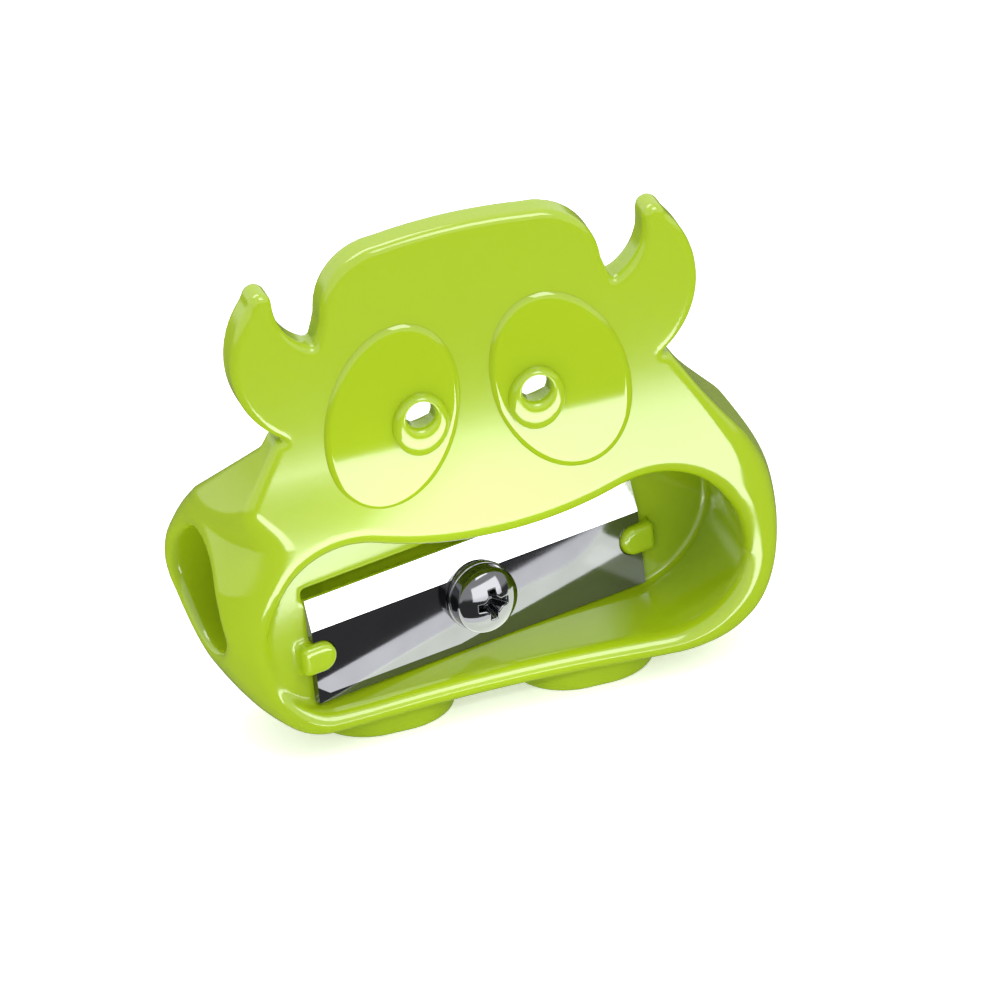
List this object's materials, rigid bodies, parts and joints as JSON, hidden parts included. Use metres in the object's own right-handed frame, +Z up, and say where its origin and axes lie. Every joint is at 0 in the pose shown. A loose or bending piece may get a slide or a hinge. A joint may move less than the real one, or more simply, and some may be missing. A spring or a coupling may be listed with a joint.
{
  "type": "pencil sharpener",
  "caption": "Small moulded plastic pencil sharpener shaped as a horned monster face, with a steel blade screwed into its open mouth.",
  "frame": {"origin": "centre of the bounding box's footprint, at the underside of the two feet", "axes": "+X along the pencil's axis away from the pencil hole, +Y to the back (the face looks towards -Y), +Z up"},
  "size_m": [0.0387, 0.0138, 0.0356],
  "materials": {
    "body_plastic": "glossy lime-green moulding",
    "blade_steel": "ground and polished tool steel",
    "screw_plating": "bright nickel plating"
  },
  "bodies": {
    "body": {"body": "body_plastic"},
    "blade": {"blade": "blade_steel"},
    "screw": {"screw": "screw_plating"}
  },
  "joints": [
    {"name": "blade_lift", "type": "slide", "parent": "body", "child": "blade", "axis": [0.2419, -0.9703, 0], "range_m": [0, 0.008]},
    {"name": "screw_turn", "type": "hinge", "parent": "blade", "child": "screw", "pos_m": [-0.0003, -0.00123, 0.00745], "axis": [0.2419, -0.9703, 0], "range_deg": [0, 2700]}
  ],
  "couplings": [
    {"joint": "screw_turn", "follows": "blade_lift", "rad_per_m": 5712}
  ]
}
